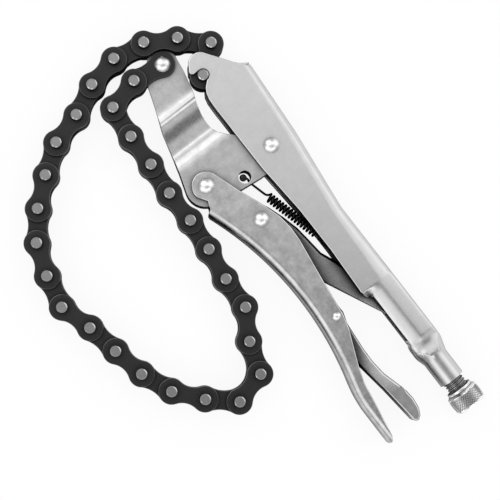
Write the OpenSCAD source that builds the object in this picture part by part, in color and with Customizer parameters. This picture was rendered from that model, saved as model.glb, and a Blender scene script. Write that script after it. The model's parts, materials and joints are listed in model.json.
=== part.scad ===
// Locking chain clamp: a toggle plier whose jaw carries a chain that wraps round the work
// and hooks on the frame.
// It lies on its side: X runs along the adjusting screw, Y toward the frame's spine, Z along the pivot pins.
// The origin is on the main pivot's axis, at the surface the tool lies on. Millimetres.

/* [Channels] */
// Outside width of the frame and lever channels
channel_w = 14; // [13.6:0.1:15]
// Sheet thickness of the frame and the lever
sheet = 2; // [1.8:0.1:2.1]
// Outside bend radius along the spines
spine_r = 4; // [3.2:0.1:4.4]

/* [Frame] */
// Distance from the main pivot to the free end of the screw barrel
frame_reach = 138.6; // [136:0.2:140]
// Outside diameter of the screw barrel
barrel_d = 12.6; // [12.2:0.1:13.4]

/* [Jaw] */
// Sheet thickness of the jaw plates
jaw_sheet = 1.6; // [1.3:0.1:1.6]
// Diameter of the hole for the spring's hook
spring_hole_d = 6; // [5:0.1:6.4]

/* [Chain] */
// Distance from one chain pin to the next
chain_pitch = 15.875; // [15.6:0.025:16]
// Diameter of the chain pins
chain_pin_d = 5.08; // [4.8:0.02:5.2]
// Thickness of one chain plate
chain_plate = 1.5; // [1.3:0.1:1.5]

/* [Pivots] */
// Diameter of the main, lever and toggle rivets
rivet_d = 6; // [5.6:0.1:6.2]
// Diameter of their heads
rivet_head_d = 7.6; // [7.2:0.1:8.2]
// Height of the domed heads on the near side
rivet_dome = 1.7; // [1.2:0.1:2]
// Height of the flat heads on the far side
rivet_foot = 1; // [0.8:0.05:1.2]

/* [Screw] */
// Outside diameter of the adjusting screw
screw_d = 10; // [9.6:0.1:10.2]
// Thread pitch of the adjusting screw
thread_pitch = 1.5; // [1.25:0.05:1.75]
// Length of the knurled knob
knob_len = 9; // [7:0.5:12]

/* [Spring] */
// Outside diameter of the spring's coil
spring_d = 4.9; // [4.5:0.1:5]
// Diameter of the spring wire
spring_wire = 1; // [0.9:0.05:1.1]
// Number of curls in the spring
spring_turns = 16; // [12:1:16]

/* [Hidden] */
$fn = 64;

// Flat and radial clearances of pieces that move on each other
play = 0.1;
bore_play = 0.04;
// Space between a head and the face it sits on, and between a rivet and its own piece
seat_gap = 0.02;
shank_fit = 0.04;
// How far a rivet's shank runs into its head
shank_lap = 0.5;
// How far a cut runs past the face it opens, and a reach past the whole tool
over = 1;
clear = 100;
// Flat steps in a quarter turn of the frame's bend
bend_steps = 8;
// How far the rounding of one straight run laps the next
bend_lap = 0.4;
// How much the bend's radius grows from one run to the next, so that their flats don't meet in a point
bend_growth = 0.06;
// How far the tail's skin lies inside the channel it grows out of
tail_step = 0.03;

// Heights, measured from the surface the tool lies on
mid_z = rivet_foot + channel_w / 2;
high_z = rivet_foot + channel_w;
half_gap = channel_w / 2 - sheet;

// Pivot places
main_pivot = [0, 0];
lever_pivot = [-3.2, -35.9];
toggle_pivot = [24.6, -25.1];
release_pivot = [81.6, -25];
chain_anchor = [-61.4, -16.7];
hook_seat = [-45.3, -5.2];
spring_hole = [4.3, -18.8];

// Frame outline
tail_x = 85;
tail_high_y = 9;
spine = [[-36.6, 16.4], [2, 13.8], [43, tail_high_y], [tail_x, tail_high_y]];
nose = [-50.2, -3];
nose_r = 5.75;
finger_r = 1.75;
crown_scoop = [-50.1, 21.3];
crown_scoop_r = 14;
web_end = 0.2;
notch_play = 0.3;
notch_r = chain_pin_d / 2 + notch_play;
finger_tip = [hook_seat.x - notch_r - finger_r, -8];
tail_low_y = -6.4;
tail_lap = 1.5;
tail_cavity_end = 112;
slit_half = half_gap - 0.7;
slit_taper_x = 114;
slit_end = 123;
screw_y = 0.9;
cone_start = 117;
cone_end = 126;
cone_start_r = 9.1;
cone_lap = 0.01;
cavity_lap = 0.5;

// Jaw outline and the heights of its three levels from the middle plane
tip_r = 7.5;
main_boss_r = 9.5;
lever_boss_r = 9.6;
tongue_in = 0.02;
body_in = half_gap - play - jaw_sheet;
mid_in = (tongue_in + body_in) / 2;
first_step = [-42, -38.5];
second_step = [-22.3, -17];
joggle_lean = 0.6;
jaw_end = 20;

// Lever outline
lever_end_r = 6.9;
lever_crown = [66, -33];
lever_arc_r = 160;
lever_arc = lever_crown - [0, lever_arc_r];
lever_spine_x = 8;
lever_bend_x = 110;
heel_r = 2.5;
heel_lap = 3;
heel_angle = acos((lever_spine_x - lever_arc.x) / lever_arc_r);
heel_round_angle = heel_angle - asin(heel_r / (lever_arc_r + heel_r));
heel_centre = lever_arc + (lever_arc_r + heel_r) * ray(heel_round_angle);
lever_bend_angle = acos((lever_bend_x - lever_arc.x) / lever_arc_r);
tail_arc_r = 60;
tail_arc = lever_arc + (lever_arc_r + tail_arc_r) * ray(lever_bend_angle);
lever_tip_x = 143.5;

// Toggle and release lever
toggle_half = 3;
toggle_tip_r = 5;
toggle_end_r = 7.4;
toggle_head_d = rivet_head_d - 0.3;
screw_gap = 0.6;
toggle_tip = [95.8, screw_y];
release_half = 2.5;
release_rivet_d = 3.4;
release_head_d = 4.6;
release_dome = rivet_dome * 0.7;
release_r = 4.5;
release_nose = [67, -22];
release_nose_r = 1.5;
thumb_pad_half = 4.5;
thumb_pad_x = 122;

// Chain
links = 30;
link_names = [for (k = [0 : links - 1]) str("chain_link_", k < 10 ? "0" : "", k)];
plate_end_r = chain_pitch * 0.386;
inner_waist = chain_pitch * 0.284;
outer_waist = chain_pitch * 0.246;
flank_r = chain_pitch * 1.2;
web_reach = chain_pitch * 0.18;
link_play = 0.08;
inner_in = jaw_sheet + tongue_in + link_play;
outer_in = inner_in + chain_plate + play;
bush_bore_d = chain_pin_d + 0.12;
bush_wall = 1;
bush_d = bush_bore_d + 2 * bush_wall;
bush_half = outer_in - play;
pin_stand = 0.8;
pin_half = channel_w / 2 + pin_stand;
// Directions of the links along the chain as it lies on the bench, in degrees from X
laid_headings = [
    -94, -75, -6, -2, -5, 0, -5, -8, -3, -31, -19, -75, -132, -141,
    -158, -169, -170, -164, -192, -200, -219, -230, -235, -253, -244, -257, -278, -299
];
laid_end = [
    for (k = 0, p = chain_anchor; k <= len(laid_headings);
         p = p + (k < len(laid_headings) ? chain_pitch * ray(laid_headings[k]) : [0, 0]), k = k + 1) p
];
// The last two links close the loop onto the hooked pin
closing = hook_seat - laid_end[len(laid_headings)];
closing_aim = atan2(closing.y, closing.x);
closing_bend = acos(norm(closing) / 2 / chain_pitch);
headings = concat(laid_headings, [closing_aim + closing_bend, closing_aim - closing_bend]);
pins = concat(laid_end, [laid_end[links - 2] + chain_pitch * ray(headings[links - 2])]);

// Screw, collar and knob
screw_x = toggle_tip.x + toggle_tip_r + screw_gap;
thread_shown = 5.2;
collar_x = frame_reach + thread_shown;
collar_len = 1.4;
collar_d = 12.8;
knob_x = collar_x + collar_len + play / 2;
knob_d = 2 * mid_z;
knob_bulge = 0.6;
thread_depth = thread_pitch * 0.45;
screw_chamfer = 0.8;

// Spring: it runs from the jaw's hole to a pin in the frame
spring_anchor_at = [52, -6];
spring_anchor_d = 3;
spring_line = spring_anchor_at - spring_hole;
spring_aim = atan2(spring_line.y, spring_line.x);
coil_r = (spring_d - spring_wire) / 2;
coil_start = 14.6;
coil_pitch = 1.76;
coil_len = coil_pitch * spring_turns;
curl_rings = 8;
wire_sides = 6;
eye_play = 0.3;
eye_r = spring_anchor_d / 2 + spring_wire / 2 + eye_play;
eye_turn = 220;
eye_rise = 1.32 * spring_wire;
hook_rise = half_gap + spring_wire / 2 + play;

function ray(angle) = [cos(angle), sin(angle)];
function arc(centre, r, from, to, steps) =
    [for (i = [0 : steps]) centre + r * ray(from + (to - from) * i / steps)];

// A flat outline raised between two heights above the middle plane
module slab(low, high) {
    translate([0, 0, mid_z + low]) linear_extrude(high - low) children();
}

module through(at, d) {
    translate([at.x, at.y, -over]) cylinder(d = d, h = high_z + 2 * over);
}

module disc(at, r) {
    translate(at) circle(r);
}

// The corner outside a bend of radius r; its first and last flats run on past the metal
function corner_waste(centre, r, out) =
    let (
        bend = [for (p = arc([0, 0], r, 0, 90, bend_steps)) centre + [out * p.x, p.y]],
        first = bend[0] + (bend[0] - bend[1]) / 2,
        last = bend[bend_steps] + (bend[bend_steps] - bend[bend_steps - 1]) / 2,
        far = centre + (r + over) * [out, 1]
    )
    concat([first], [for (i = [1 : bend_steps - 1]) bend[i]], [last, [last.x, far.y], far, [far.x, first.y]]);

// The waste that leaves a round edge along a straight run, with the metal on the right of the run
module edge_waste(from, to, r) {
    run = to - from;
    translate([from.x, from.y, mid_z]) rotate(atan2(run.y, run.x)) rotate([90, 0, 90])
        translate([0, 0, -bend_lap]) linear_extrude(norm(run) + 2 * bend_lap)
            for (side = [0, 1]) mirror([0, side]) polygon(corner_waste([-r, channel_w / 2 - r], r, 1));
}

// The same waste round an arc, with the metal inside or outside the arc's circle
module arc_waste(centre, edge_r, r, metal_inside) {
    out = metal_inside ? 1 : -1;
    waste = corner_waste([edge_r - out * r, channel_w / 2 - r], r, out);
    translate([centre.x, centre.y, mid_z]) rotate_extrude($fn = 360) for (side = [-1, 1])
        polygon([for (p = waste) [p.x, side * p.y]]);
}

module frame_outline() {
    polygon(concat(
        spine,
        [
            [tail_x, tail_low_y], [82.8, -8.3], [80, -9], [56, -8.1], [32.5, -8.3], [6, -10.1],
            [-29.6, -10.3], [-34.5, -10.1], [-37.6, -9.4], [-40, -7.9]
        ],
        arc(hook_seat, notch_r, 0, 180, 12),
        arc(finger_tip, finger_r, 0, -140, 8),
        arc(nose, nose_r, 235, 128, 10),
        arc(crown_scoop, crown_scoop_r, -57, -28, 6)
    ));
}

// A box with rounded long edges, running along X
module round_bar(x0, x1, y0, y1, half_w, r) {
    z = half_w - r;
    translate([x0, 0, mid_z]) rotate([90, 0, 90]) linear_extrude(x1 - x0) polygon(concat(
        arc([y1 - r, z], r, 0, 90, bend_steps), arc([y0 + r, z], r, 90, 180, bend_steps),
        arc([y0 + r, -z], r, 180, 270, bend_steps), arc([y1 - r, -z], r, 270, 360, bend_steps)
    ));
}

module along_screw(x, y = screw_y) {
    translate([x, y, mid_z]) rotate([0, 90, 0]) children();
}

module frame_channel() {
    color("silver") difference() {
        union() {
            difference() {
                slab(-channel_w / 2, channel_w / 2) frame_outline();
                for (i = [0 : 2]) edge_waste(spine[i], spine[i + 1], spine_r + i * bend_growth);
            }
            intersection() {
                round_bar(
                    tail_x - tail_lap, cone_end, tail_low_y + tail_step, tail_high_y - tail_step,
                    channel_w / 2 - tail_step, spine_r
                );
                union() {
                    translate([cone_start - clear, -clear / 2, -over])
                        cube([clear, clear, high_z + 2 * over]);
                    along_screw(cone_start - cone_lap)
                        cylinder(cone_end - cone_start + 2 * cone_lap, cone_start_r, barrel_d / 2);
                }
            }
            along_screw(tail_cavity_end - over)
                cylinder(d = barrel_d, h = frame_reach - tail_cavity_end + over);
        }
        // Space between the two sides, open below and at the hook
        slab(-half_gap, half_gap) polygon([
            [-62, -15], [-62, 25], [spine[0].x + web_end, 25], spine[0] + [web_end, -sheet],
            spine[1] - [0, sheet], spine[2] - [0, sheet], [tail_cavity_end, tail_high_y - sheet],
            [tail_cavity_end, tail_low_y + sheet],
            [tail_x - cavity_lap, tail_low_y + sheet], [tail_x - cavity_lap, -15]
        ]);
        // The slit under the tail runs even and closes toward the barrel
        translate([0, tail_low_y - over, mid_z]) rotate([-90, 0, 0]) linear_extrude(sheet + 2 * over)
            polygon([
                [tail_x - over, -slit_half], [slit_taper_x, -slit_half], [slit_end, 0],
                [slit_taper_x, slit_half], [tail_x - over, slit_half]
            ]);
        along_screw(tail_cavity_end - 2 * over) cylinder(d = screw_d + 2 * bore_play, h = frame_reach);
        through(main_pivot, rivet_d);
    }
}

// A rivet with a flat foot below and a dome above, its heads against the outside of the channels
module rivet(at, d, head_d, dome) {
    translate([at.x, at.y, 0]) {
        cylinder(d = head_d, h = rivet_foot - seat_gap);
        cylinder(d = d, h = high_z + shank_lap);
        dome_at(head_d, dome, high_z + seat_gap);
    }
}

// A spherical cap of the given width and height
module dome_at(d, h, z) {
    ball_r = (d * d / 4 + h * h) / 2 / h;
    translate([0, 0, z]) difference() {
        translate([0, 0, h - ball_r]) sphere(ball_r);
        translate([0, 0, -2 * ball_r]) cylinder(r = 2 * ball_r, h = 2 * ball_r);
    }
}

module main_pivot_rivet() {
    color("gainsboro") rivet(main_pivot, rivet_d - shank_fit, rivet_head_d, rivet_dome);
}

module spring_anchor() {
    color("dimgray") slab(seat_gap - half_gap, half_gap - seat_gap)
        disc(spring_anchor_at, spring_anchor_d / 2);
}

module jaw_outline() {
    polygon(concat(
        arc(chain_anchor, tip_r, 235, 75, 16),
        [
            [-52.7, -10.5], [-47.1, -11.9], [-42.7, -12.9], [-37, -15.2], [-32, -16.5], [-27.6, -17],
            [-23.5, -16.9], [-20.2, -15.7], [-16.8, -12.9], [-12.4, -8.2]
        ],
        arc(main_pivot, main_boss_r, 205, -12, 24),
        [[9.3, -12.1], [8, -24.1]],
        arc(lever_pivot, lever_boss_r, 8, -107, 14),
        [[-15.9, -41.8], [-35.2, -36.6], [-47.5, -31.8], [-57.6, -28.3], [-62, -25.4]]
    ));
}

// The jaw plate's side profile: a flat tongue, a joggle, a middle level, a second joggle and the flat body
module jaw_profile() {
    polygon([
        [-clear, tongue_in], [first_step[0], tongue_in], [first_step[1], mid_in],
        [second_step[0], mid_in], [second_step[1], body_in], [jaw_end, body_in],
        [jaw_end, body_in + jaw_sheet], [second_step[1] - joggle_lean, body_in + jaw_sheet],
        [second_step[0] - joggle_lean, mid_in + jaw_sheet], [first_step[1] - joggle_lean, mid_in + jaw_sheet],
        [first_step[0] - joggle_lean, tongue_in + jaw_sheet], [-clear, tongue_in + jaw_sheet]
    ]);
}

module jaw_plate(side) {
    color("lightgray") difference() {
        intersection() {
            slab(-half_gap, half_gap) jaw_outline();
            translate([0, 0, mid_z]) on_side(side) translate([0, clear, 0]) rotate([90, 0, 0])
                linear_extrude(2 * clear) jaw_profile();
        }
        through(main_pivot, rivet_d + 2 * bore_play);
        through(lever_pivot, rivet_d + 2 * bore_play);
        through(chain_anchor, chain_pin_d + seat_gap);
        through(spring_hole, spring_hole_d);
    }
}

module on_side(side) {
    if (side > 0) children();
    else mirror([0, 0, 1]) children();
}

module jaw_near_plate() {
    jaw_plate(1);
}

module jaw_far_plate() {
    jaw_plate(-1);
}

module chain_anchor_rivet() {
    head_z = inner_in + chain_plate + play / 2;
    color("gainsboro") translate([chain_anchor.x, chain_anchor.y, mid_z]) {
        translate([0, 0, -head_z - shank_lap]) cylinder(d = chain_pin_d, h = 2 * (head_z + shank_lap));
        dome_at(rivet_head_d, rivet_dome, head_z);
        mirror([0, 0, 1]) dome_at(rivet_head_d, rivet_dome, head_z);
    }
}

module lever_outline() {
    polygon(concat(
        arc(lever_pivot, lever_end_r, 285, 110, 20),
        [
            [8.4, -24.6], [20.7, -19.7], [28.7, -17.2], [36, -16.3], [43.2, -16.6],
            [65.7, -19.8], [82.9, -21.9], [89.6, -23.8], [105.8, -30.8], [114.1, -33.7], [125, -35.5],
            [135.9, -37.6], [140.7, -38.4], [142.9, -39.5], [lever_tip_x, -40.4], [143.2, -41.5]
        ],
        arc(tail_arc, tail_arc_r, -90, lever_bend_angle - 180, 8),
        arc(lever_arc, lever_arc_r, lever_bend_angle + 1, heel_round_angle, 24),
        arc(heel_centre, heel_r, heel_round_angle + 180, heel_angle + 90, 6),
        [[6.3, -40.9], [2.8, -39.7], [0.6, -41.2]]
    ));
}

module lever_channel() {
    color("darkgray") difference() {
        slab(-channel_w / 2, channel_w / 2) lever_outline();
        // Space between the two sides, open toward the frame
        slab(-half_gap, half_gap) difference() {
            polygon([
                [-14, -50], [lever_spine_x, -50], [lever_spine_x, -44], [lever_bend_x, -44],
                [lever_tip_x - sheet, -39.6], [lever_tip_x - sheet, 0], [-14, 0]
            ]);
            intersection() {
                disc(lever_arc, lever_arc_r + sheet, $fn = 360);
                translate([lever_spine_x, -clear]) square([lever_bend_x - lever_spine_x, clear]);
            }
            difference() {
                translate([lever_bend_x, -clear]) square(clear);
                disc(tail_arc, tail_arc_r - sheet, $fn = 360);
            }
        }
        intersection() {
            arc_waste(lever_arc, lever_arc_r, spine_r, false);
            translate([lever_spine_x - heel_lap, -clear, -over])
                cube([lever_bend_x - lever_spine_x + heel_lap, clear, high_z + 2 * over]);
        }
        intersection() {
            arc_waste(tail_arc, tail_arc_r, spine_r + bend_growth, true);
            translate([lever_bend_x, -clear, -over])
                cube([tail_arc.x - lever_bend_x, clear, high_z + 2 * over]);
        }
        edge_waste(
            [lever_tip_x + over, tail_arc.y - tail_arc_r], tail_arc - [0, tail_arc_r],
            spine_r + 2 * bend_growth
        );
        through(lever_pivot, rivet_d);
        through(toggle_pivot, rivet_d);
        through(release_pivot, release_rivet_d);
    }
}

module lever_pivot_rivet() {
    color("gainsboro") rivet(lever_pivot, rivet_d - shank_fit, rivet_head_d, rivet_dome);
}

module toggle_rivet() {
    color("gainsboro") rivet(toggle_pivot, rivet_d - shank_fit, toggle_head_d, rivet_dome);
}

module release_rivet() {
    color("gainsboro") rivet(release_pivot, release_rivet_d - shank_fit, release_head_d, release_dome);
}

module toggle_link() {
    color("gray") difference() {
        slab(-toggle_half, toggle_half) polygon(concat(
            arc(toggle_pivot, toggle_end_r, 290, 110, 20),
            [[30, -15.4], [38, -13.3], [46, -12.4], [54, -11.6], [70, -4.6]],
            arc(toggle_tip, toggle_tip_r, 112, -65, 18),
            [[66.5, -18.6], [60, -20.4]]
        ));
        through(toggle_pivot, rivet_d + 2 * bore_play);
    }
}

module release_outline() {
    polygon(concat(
        arc(release_nose, release_nose_r, 265, 75, 10),
        arc(release_pivot, release_r, 100, 70, 3),
        [
            [87.6, -22.3], [102.3, -23.6], [108.9, -23.8],
            [116.5, -23.2], [126.1, -20.6], [129.8, -19.8], [134, -19.5], [138.9, -20.1], [142.2, -21.7],
            [143.6, -23.6],
            [143.4, -25.1], [141.7, -26], [122.7, -27.9], [107.2, -30.2], [97, -30.8]
        ],
        arc(release_pivot, release_r, -80, -110, 3)
    ));
}

module release_lever() {
    color("darkgray") difference() {
        union() {
            slab(-release_half, release_half) release_outline();
            slab(-thumb_pad_half, thumb_pad_half) intersection() {
                release_outline();
                translate([thumb_pad_x, -clear]) square(clear);
            }
        }
        through(release_pivot, release_rivet_d + 2 * bore_play);
    }
}

// Points along the spring's wire: [along the spring, across it, height above the middle plane]
coil_points = [
    for (i = [0 : spring_turns * curl_rings])
        let (turns = i / curl_rings)
            [coil_start + coil_pitch * turns, coil_r * cos(360 * turns), coil_r * sin(360 * turns)]
];
coil_end = coil_start + coil_len;
eye_at = norm(spring_line);
wire_local = concat(
    [
        [-1.6, 0, hook_rise], [0.8, 0, hook_rise], [1.6, 0, hook_rise - 0.4], [1.9, 0, hook_rise - 1.3],
        [2.2, 0, 2.6], [3, 0, 0.9], [4.4, 0, 0.1], [6, 0, 0], [12.4, 0, 0], [13.5, 0.5, -0.5],
        [14.2, 1.3, -0.9]
    ],
    coil_points,
    [[coil_end + 0.9, 1.3, 0.8], [coil_end + 1.7, 0.4, 0.5], [coil_end + 2.6, -eye_r * 0.6, 0.1]],
    [
        for (a = [0 : 20 : eye_turn])
            [eye_at + eye_r * cos(a - eye_turn / 2), eye_r * sin(a - eye_turn / 2), eye_rise * a / eye_turn]
    ]
);
wire = [
    for (p = wire_local) let (flat = spring_hole + p.x * ray(spring_aim) + p.y * ray(spring_aim + 90))
        [flat.x, flat.y, mid_z + p.z]
];
// The gap between stretches of wire at least six points apart
wire_gap = min([
    for (i = [0 : len(wire) - 1]) for (j = [i + 6 : 1 : len(wire) - 1]) norm(wire[i] - wire[j])
]) - spring_wire;
echo(spring_least_gap = wire_gap);

function unit(v) = v / norm(v);
function wire_way(i) = unit(wire[min(i + 1, len(wire) - 1)] - wire[max(i - 1, 0)]);
function square_to(v, way) = unit(v - (v * way) * way);
// Each ring's first direction is the last one's, turned as little as the wire's bend allows
ring_starts = [
    for (i = 0, v = square_to([0, 0, 1], wire_way(0)); i < len(wire);
         i = i + 1, v = i < len(wire) ? square_to(v, wire_way(i)) : v) v
];

module spring() {
    rings = len(wire);
    points = [
        for (i = [0 : rings - 1], s = [0 : wire_sides - 1]) let (side = cross(wire_way(i), ring_starts[i]))
            let (turn = 360 * s / wire_sides)
                wire[i] + spring_wire / 2 * (ring_starts[i] * cos(turn) + side * sin(turn))
    ];
    walls = [
        for (i = [0 : rings - 2], s = [0 : wire_sides - 1])
            let (a = i * wire_sides + s, b = i * wire_sides + (s + 1) % wire_sides)
                each [[a, a + wire_sides, b], [b, a + wire_sides, b + wire_sides]]
    ];
    last = (rings - 1) * wire_sides;
    caps = [for (s = [1 : wire_sides - 2]) each [[0, s, s + 1], [last, last + s + 1, last + s]]];
    color("black") polyhedron(points, concat(walls, caps));
}

module screw_collar() {
    color("silver") along_screw(collar_x) difference() {
        cylinder(d = collar_d, h = collar_len);
        translate([0, 0, -over]) cylinder(d = screw_d + 2 * bore_play, h = collar_len + 2 * over);
    }
}

module adjusting_screw() {
    teeth = floor((collar_x - cone_end) / thread_pitch);
    shank = collar_x - screw_x - teeth * thread_pitch;
    color("dimgray") along_screw(screw_x) rotate_extrude() polygon(concat(
        [[0, 0], [screw_d / 2 - screw_chamfer, 0], [screw_d / 2, screw_chamfer], [screw_d / 2, shank]],
        [
            for (i = [0 : teeth - 1]) each [
                [screw_d / 2 - thread_depth, shank + (i + 0.5) * thread_pitch],
                [screw_d / 2, shank + (i + 1) * thread_pitch]
            ]
        ],
        [[screw_d / 2, knob_x - screw_x], [0, knob_x - screw_x]]
    ));
}

module knurled_knob() {
    swell_r = (knob_len * knob_len / 4 + knob_bulge * knob_bulge) / 2 / knob_bulge;
    half_angle = asin(knob_len / 2 / swell_r);
    color("gray") along_screw(knob_x) rotate_extrude() polygon(concat(
        [[0, 0]],
        arc([knob_d / 2 - swell_r, knob_len / 2], swell_r, -half_angle, half_angle, 12),
        [[0, knob_len]]
    ));
}

// A plate with two round ends and a waist
module plate_outline(waist) {
    flank = asin((chain_pitch / 2 - web_reach) / flank_r);
    middle = chain_pitch / 2;
    for (x = [0, chain_pitch]) disc([x, 0], plate_end_r);
    polygon(concat(
        arc([middle, waist + flank_r], flank_r, -90 - flank, -90 + flank, 8),
        arc([middle, -waist - flank_r], flank_r, 90 - flank, 90 + flank, 8)
    ));
}

module both_sides() {
    children();
    mirror([0, 0, 1]) children();
}

// An inner link: two plates on two bushes; the first link has no bush where it is riveted to the jaw
module inner_link(first) {
    hole_d = bush_d + shank_fit;
    first_hole_d = first ? chain_pin_d + play : hole_d;
    both_sides() translate([0, 0, inner_in]) linear_extrude(chain_plate) difference() {
        plate_outline(inner_waist);
        circle(d = first_hole_d);
        disc([chain_pitch, 0], hole_d / 2);
    }
    for (x = first ? [chain_pitch] : [0, chain_pitch]) translate([x, 0, -bush_half]) difference() {
        cylinder(d = bush_d, h = 2 * bush_half);
        translate([0, 0, -over]) cylinder(d = bush_bore_d, h = 2 * bush_half + 2 * over);
    }
}

// An outer link: two plates on two pins that stand out to catch the frame's hook
module outer_link() {
    both_sides() translate([0, 0, outer_in]) linear_extrude(chain_plate) difference() {
        plate_outline(outer_waist);
        for (x = [0, chain_pitch]) disc([x, 0], (chain_pin_d + seat_gap) / 2);
    }
    for (x = [0, chain_pitch]) translate([x, 0, -pin_half]) cylinder(d = chain_pin_d, h = 2 * pin_half);
}

module chain_link(k) {
    color("dimgray") translate([pins[k].x, pins[k].y, mid_z]) rotate(headings[k]) {
        if (k % 2 == 0) inner_link(k == 0);
        else outer_link();
    }
}

frame_channel();
main_pivot_rivet();
spring_anchor();
jaw_near_plate();
jaw_far_plate();
chain_anchor_rivet();
lever_channel();
lever_pivot_rivet();
toggle_rivet();
release_rivet();
toggle_link();
release_lever();
spring();
screw_collar();
adjusting_screw();
knurled_knob();
for (k = [0 : links - 1]) chain_link(k);
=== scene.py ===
import json
import math

import bmesh
import bpy
from mathutils import Matrix, Vector

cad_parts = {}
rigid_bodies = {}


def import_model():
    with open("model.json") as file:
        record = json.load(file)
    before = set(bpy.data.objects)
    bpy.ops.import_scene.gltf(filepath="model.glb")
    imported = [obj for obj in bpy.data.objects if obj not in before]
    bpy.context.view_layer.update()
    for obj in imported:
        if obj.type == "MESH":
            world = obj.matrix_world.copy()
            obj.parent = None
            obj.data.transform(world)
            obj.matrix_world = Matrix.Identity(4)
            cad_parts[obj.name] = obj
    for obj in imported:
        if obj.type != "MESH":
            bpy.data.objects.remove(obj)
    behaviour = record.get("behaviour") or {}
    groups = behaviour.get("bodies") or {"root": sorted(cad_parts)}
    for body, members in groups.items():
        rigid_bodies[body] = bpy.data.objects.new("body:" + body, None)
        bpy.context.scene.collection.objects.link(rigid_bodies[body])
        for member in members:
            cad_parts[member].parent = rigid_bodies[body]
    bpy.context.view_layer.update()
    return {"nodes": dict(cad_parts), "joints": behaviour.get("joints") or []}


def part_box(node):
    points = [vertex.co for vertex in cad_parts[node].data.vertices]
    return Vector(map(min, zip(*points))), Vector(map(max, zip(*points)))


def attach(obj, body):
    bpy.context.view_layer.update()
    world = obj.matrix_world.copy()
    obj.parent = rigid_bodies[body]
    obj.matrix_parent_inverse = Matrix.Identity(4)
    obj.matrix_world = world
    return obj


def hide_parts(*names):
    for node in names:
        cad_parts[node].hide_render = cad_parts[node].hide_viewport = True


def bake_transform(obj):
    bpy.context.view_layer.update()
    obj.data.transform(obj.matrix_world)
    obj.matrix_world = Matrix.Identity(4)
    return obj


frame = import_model()
scene = bpy.context.scene
scene.view_settings.view_transform = "Standard"
MM = 0.001

# Camera: it hangs over the tool with a long lens, leaning a little toward the chain.
camera_data = bpy.data.cameras.new("camera")
camera_data.sensor_width = 36
camera_data.lens = 92.984
camera_data.clip_end = 10
camera = bpy.data.objects.new("camera", camera_data)
camera.location = (0.03747, -0.1017, 0.60955)
camera.rotation_euler = [math.radians(angle) for angle in (4.107, -4.551, 52.147)]
scene.collection.objects.link(camera)
scene.camera = camera


# Frame: the fixed handle, bent from one steel sheet into a channel and plated a dull silver.
# Its tail is rolled nearly shut and ends in the barrel for the adjusting screw.
# The jaw is riveted into its front.
def new_group(name, inputs, outputs):
    group = bpy.data.node_groups.new(name, "ShaderNodeTree")
    for socket_name, kind, value in inputs:
        socket = group.interface.new_socket(socket_name, in_out="INPUT", socket_type=kind)
        socket.default_value = value
    for socket_name, kind in outputs:
        group.interface.new_socket(socket_name, in_out="OUTPUT", socket_type=kind)
    start = group.nodes.new("NodeGroupInput")
    end = group.nodes.new("NodeGroupOutput")
    return group, start, end


def math_node(tree, operation, first, second):
    node = tree.nodes.new("ShaderNodeMath")
    node.operation = operation
    for socket, value in zip(node.inputs, (first, second)):
        if isinstance(value, (int, float)):
            socket.default_value = value
        else:
            tree.links.new(value, socket)
    return node.outputs[0]


def noise_node(tree, coordinates, scale, detail):
    node = tree.nodes.new("ShaderNodeTexNoise")
    node.inputs["Detail"].default_value = detail
    if isinstance(scale, (int, float)):
        node.inputs["Scale"].default_value = scale
    else:
        tree.links.new(scale, node.inputs["Scale"])
    tree.links.new(coordinates, node.inputs["Vector"])
    return node.outputs["Fac"]


# Plated sheet: fine speckle from the plating bath, soft clouds from handling, edges painted bright as wear
# and a painted highlight, and painted shade in crevices and under overhangs, taken from an occlusion node
MEAN_NOISE = 0.5
CLOUD_SCALE = 240.0
AO_SAMPLES = 8
PAINTED_SHADE_REACH = 13 * MM
DARKEST_PAINTED_SHADE = 0.06
SPECKLE_DULLS = 0.6
WEAR_POLISHES = 0.3
plating, plating_in, plating_out = new_group(
    "plating",
    [
        ("Color", "NodeSocketColor", (0.7, 0.7, 0.7, 1)),
        ("Grain", "NodeSocketFloat", 1500.0),
        ("Speckle", "NodeSocketFloat", 0.2),
        ("Clouds", "NodeSocketFloat", 0.1),
        ("Edge Wear Highlight", "NodeSocketFloat", 0.3),
        ("Roughness", "NodeSocketFloat", 0.35),
        ("Painted Shade Power", "NodeSocketFloat", 1.7),
    ],
    [("Color", "NodeSocketColor"), ("Roughness", "NodeSocketFloat"), ("Height", "NodeSocketFloat")],
)
place = plating.nodes.new("ShaderNodeTexCoord").outputs["Object"]
grain = noise_node(plating, place, plating_in.outputs["Grain"], 2.0)
clouds = noise_node(plating, place, CLOUD_SCALE, 3.0)
edge = plating.nodes.new("ShaderNodeAttribute")
edge.attribute_name = "edge"
grain_swing = math_node(plating, "SUBTRACT", grain, MEAN_NOISE)
cloud_swing = math_node(plating, "SUBTRACT", clouds, MEAN_NOISE)
speckled = math_node(plating, "MULTIPLY", grain_swing, plating_in.outputs["Speckle"])
clouded = math_node(plating, "MULTIPLY", cloud_swing, plating_in.outputs["Clouds"])
# Marked edges are painted brighter, partly as wear and partly as a painted highlight
edge_wear_and_highlight = math_node(plating, "MULTIPLY", edge.outputs["Fac"], plating_in.outputs["Edge Wear Highlight"])
mottled = math_node(plating, "ADD", speckled, clouded)
shade = math_node(plating, "ADD", mottled, math_node(plating, "ADD", edge_wear_and_highlight, 1.0))
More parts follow.
